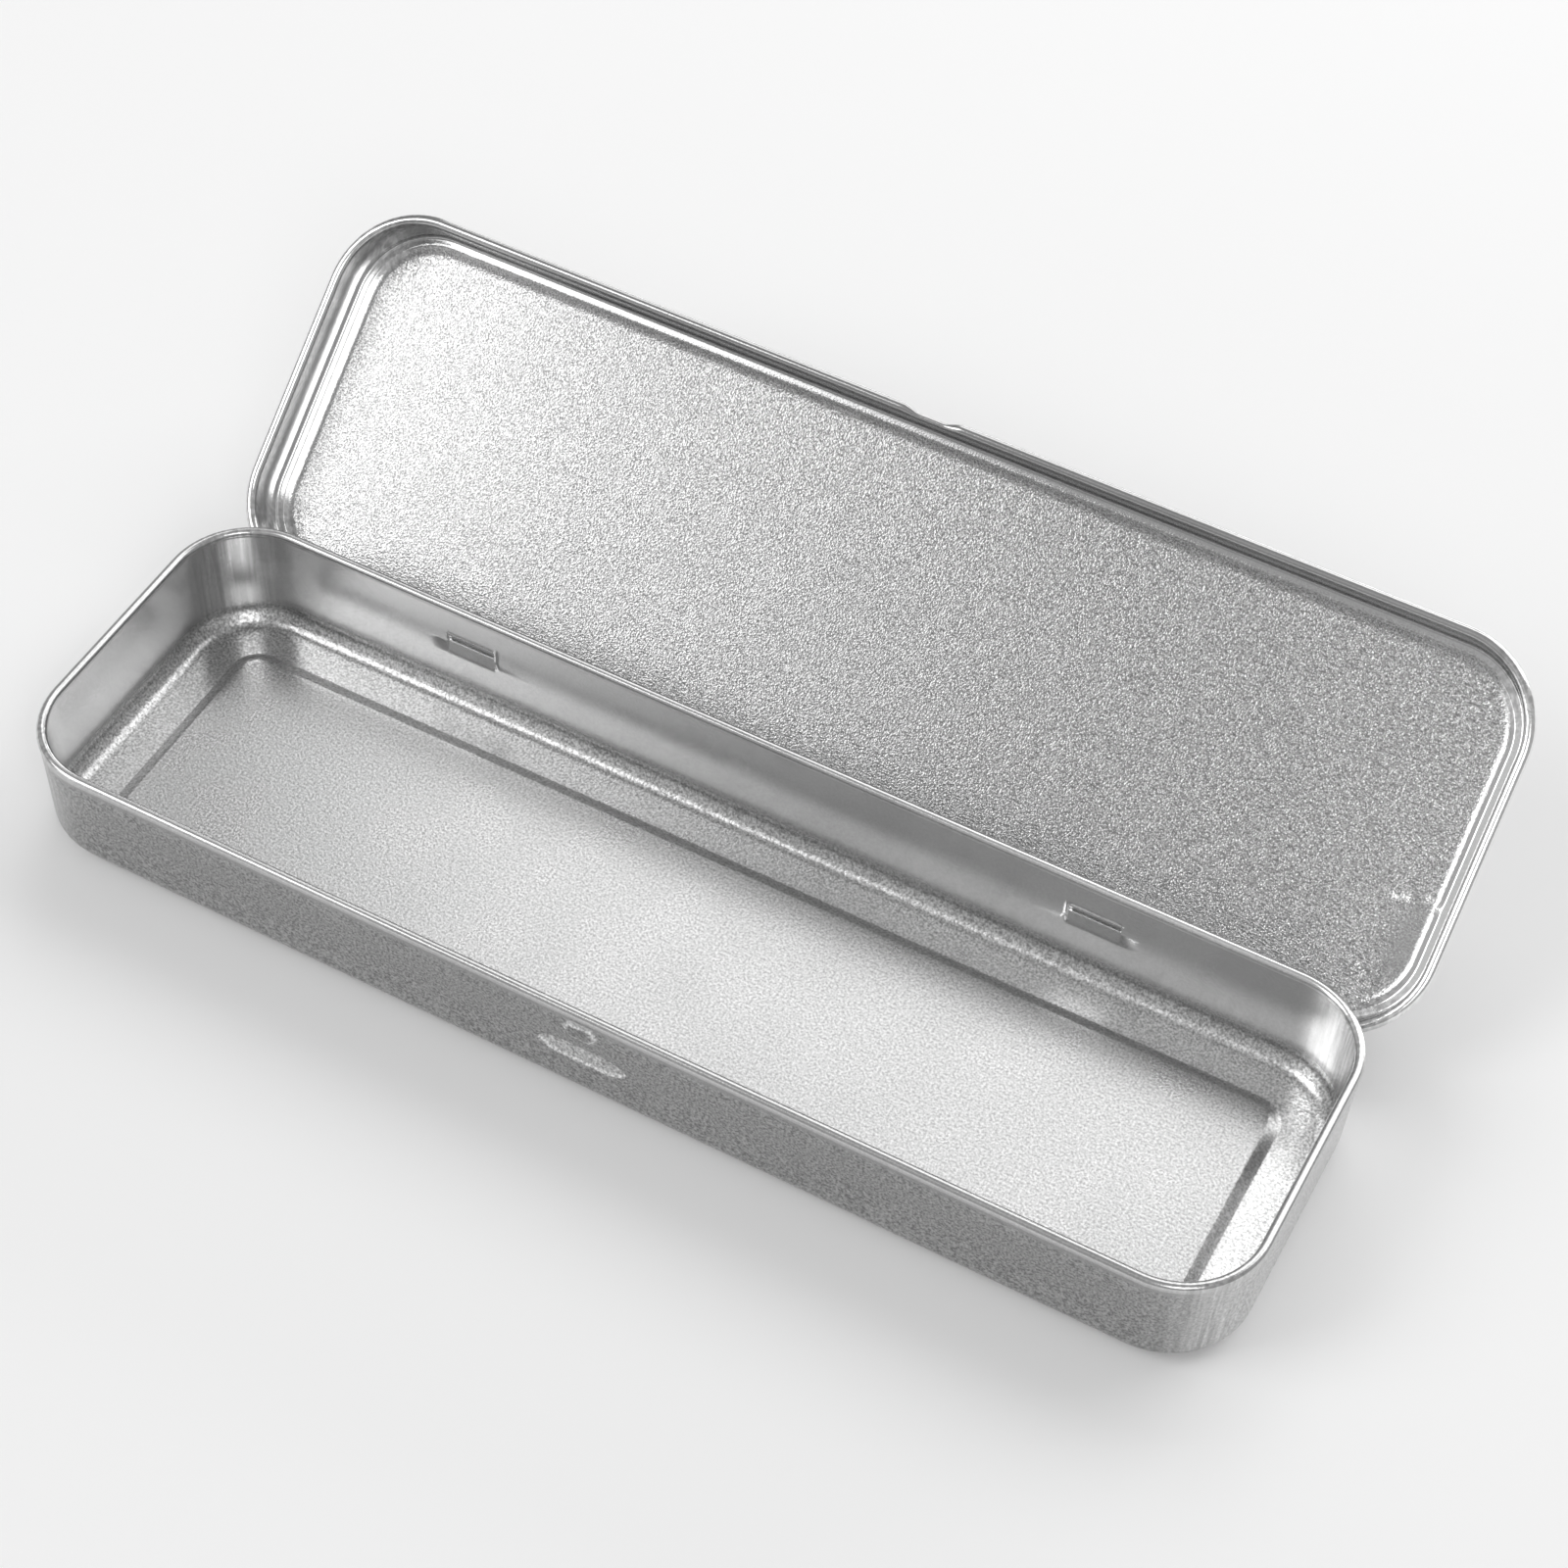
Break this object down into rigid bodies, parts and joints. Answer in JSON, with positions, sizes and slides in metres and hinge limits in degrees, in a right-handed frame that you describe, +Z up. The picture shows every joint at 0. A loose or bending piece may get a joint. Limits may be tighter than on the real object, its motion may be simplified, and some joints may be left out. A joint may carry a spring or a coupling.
{
  "type": "hinged pencil tin",
  "caption": "Shallow hinged tinplate box for coloured pencils: a drawn tray with rolled rim, snap bump and thumb recess, and a slip-over lid on tab hinges, standing open.",
  "frame": {"origin": "on the ground, under the middle of the open tin's box", "axes": "+X along the tin, to the right seen from the front; +Y from the snap towards the hinge; +Z up"},
  "size_m": [0.19, 0.1026, 0.0451],
  "materials": {
    "tray_tinplate": "satin, fine grained",
    "lid_tinplate": "satin, fine grained",
    "tab_tinplate": "semi-bright"
  },
  "bodies": {
    "tray": {"tray": "tray_tinplate"},
    "lid": {"lid": "lid_tinplate", "left_hinge_tab": "tab_tinplate", "right_hinge_tab": "tab_tinplate"}
  },
  "joints": [
    {"name": "lid_hinge", "type": "hinge", "parent": "tray", "child": "lid", "pos_m": [0, 0.00354, 0.0103], "axis": [1, 0, 0], "range_deg": [0, 140.05]}
  ]
}
